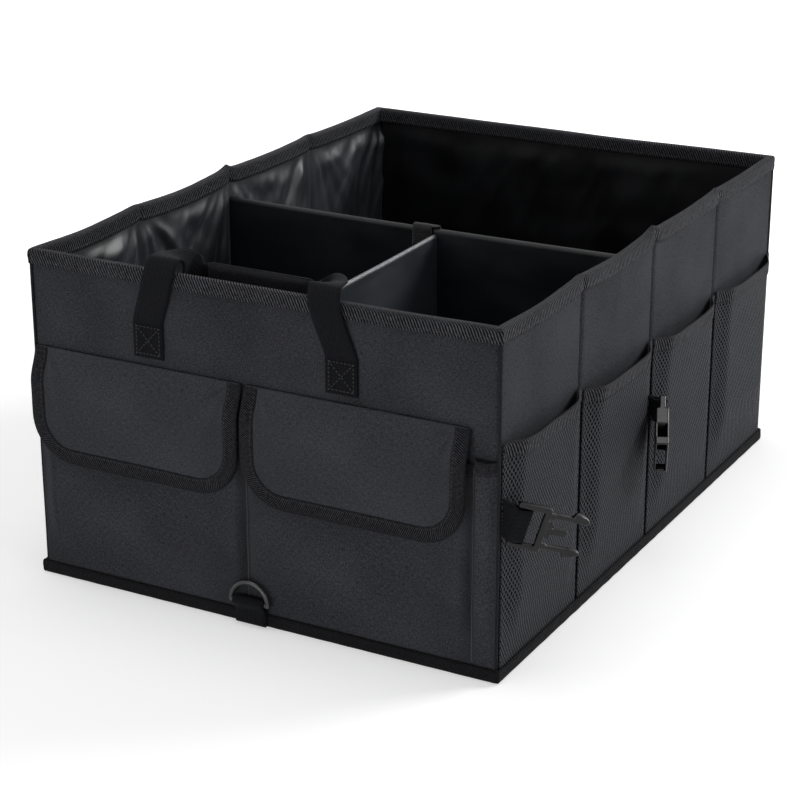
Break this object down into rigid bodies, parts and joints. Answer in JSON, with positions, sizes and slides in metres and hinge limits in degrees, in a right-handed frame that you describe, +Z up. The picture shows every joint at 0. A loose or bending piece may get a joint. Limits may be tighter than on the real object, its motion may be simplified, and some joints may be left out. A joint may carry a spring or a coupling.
{
  "type": "car trunk organizer",
  "caption": "Open collapsible box of black cloth with stiffened walls, dividers, flap and mesh pockets, carrying handles, strap buckles and tie-down rings for a car trunk.",
  "frame": {"origin": "middle of the underside, on the surface that the box stands on", "axes": "+X to the right seen from the flap-pocket end, +Y from that end to the plain end, +Z up"},
  "size_m": [0.486, 0.5437, 0.2635],
  "materials": {
    "outer_cloth": "matt plain-woven polyester cloth",
    "coated_lining": "coated cloth with a satin shine",
    "binding_tape": "ribbed woven tape, stitched along its edge",
    "webbing": "flat woven strap with a herringbone rib",
    "pocket_mesh": "open knitted mesh with a bound mouth",
    "hook_tape": "matt hook-and-loop tape",
    "stiffener_board": "plain board, hidden between the cloths",
    "buckle_plastic": "moulded black plastic, glossy",
    "ring_plastic": "black coated ring, glossy"
  },
  "bodies": {
    "root": {"front_cloth": "outer_cloth", "front_board": "stiffener_board", "front_lining": "coated_lining", "rear_cloth": "outer_cloth", "rear_board": "stiffener_board", "rear_lining": "coated_lining", "right_cloth": "outer_cloth", "right_lining": "coated_lining", "right_board_1": "stiffener_board", "right_board_2": "stiffener_board", "right_board_3": "stiffener_board", "right_board_4": "stiffener_board", "right_mesh_pocket_1": "pocket_mesh", "right_mesh_pocket_2": "pocket_mesh", "right_mesh_pocket_3": "pocket_mesh", "right_mesh_pocket_4": "pocket_mesh", "right_front_strap": "webbing", "right_middle_strap": "webbing", "left_cloth": "outer_cloth", "left_lining": "coated_lining", "left_board_1": "stiffener_board", "left_board_2": "stiffener_board", "left_board_3": "stiffener_board", "left_board_4": "stiffener_board", "left_mesh_pocket_1": "pocket_mesh", "left_mesh_pocket_2": "pocket_mesh", "left_mesh_pocket_3": "pocket_mesh", "left_mesh_pocket_4": "pocket_mesh", "left_rear_strap": "webbing", "left_middle_strap": "webbing", "floor_cloth": "outer_cloth", "front_base_board": "coated_lining", "rear_base_board": "coated_lining", "cross_divider": "coated_lining", "long_divider": "coated_lining", "divider_tab": "hook_tape", "rim_binding": "binding_tape", "bottom_binding": "binding_tape", "left_pocket": "outer_cloth", "right_pocket": "outer_cloth", "pen_pocket": "outer_cloth", "front_handle": "webbing", "front_handle_grip": "outer_cloth", "rear_handle": "webbing", "rear_handle_grip": "outer_cloth", "front_ring_tab": "webbing", "rear_ring_tab": "webbing"},
    "left_flap": {"left_flap": "outer_cloth", "left_flap_binding": "binding_tape", "left_flap_hook_patch": "hook_tape"},
    "right_flap": {"right_flap": "outer_cloth", "right_flap_binding": "binding_tape", "right_flap_hook_patch": "hook_tape"},
    "front_tie_ring": {"front_tie_ring": "ring_plastic"},
    "rear_tie_ring": {"rear_tie_ring": "ring_plastic"},
    "right_front_buckle": {"right_front_male_buckle": "buckle_plastic"},
    "right_middle_buckle": {"right_middle_female_buckle": "buckle_plastic"},
    "left_rear_buckle": {"left_rear_male_buckle": "buckle_plastic"},
    "left_middle_buckle": {"left_middle_female_buckle": "buckle_plastic"}
  },
  "joints": [
    {"name": "left_flap_hinge", "type": "hinge", "parent": "root", "child": "left_flap", "pos_m": [-0.0985, -0.2584, 0.182], "axis": [-1, 0, 0], "range_deg": [0, 145]},
    {"name": "right_flap_hinge", "type": "hinge", "parent": "root", "child": "right_flap", "pos_m": [0.08, -0.2584, 0.182], "axis": [-1, 0, 0], "range_deg": [0, 145]},
    {"name": "front_tie_ring_swing", "type": "hinge", "parent": "root", "child": "front_tie_ring", "pos_m": [-0.0045, -0.2636, 0.019], "axis": [1, 0, 0], "range_deg": [0, 165]},
    {"name": "rear_tie_ring_swing", "type": "hinge", "parent": "root", "child": "rear_tie_ring", "pos_m": [-0.0045, 0.2636, 0.019], "axis": [-1, 0, 0], "range_deg": [0, 165]},
    {"name": "right_front_buckle_swing", "type": "hinge", "parent": "root", "child": "right_front_buckle", "pos_m": [0.1993, -0.2535, 0.119], "axis": [0.2994, 0.0133, 0.954], "range_deg": [-120, 40]},
    {"name": "right_middle_buckle_swing", "type": "hinge", "parent": "root", "child": "right_middle_buckle", "pos_m": [0.1995, 0, 0.114], "axis": [0.1954, -0.4603, 0.866], "range_deg": [-5, 135]},
    {"name": "left_rear_buckle_swing", "type": "hinge", "parent": "root", "child": "left_rear_buckle", "pos_m": [-0.1993, 0.2535, 0.119], "axis": [-0.2994, -0.0133, 0.954], "range_deg": [-120, 40]},
    {"name": "left_middle_buckle_swing", "type": "hinge", "parent": "root", "child": "left_middle_buckle", "pos_m": [-0.1995, 0, 0.114], "axis": [-0.1954, 0.4603, 0.866], "range_deg": [-5, 135]}
  ]
}
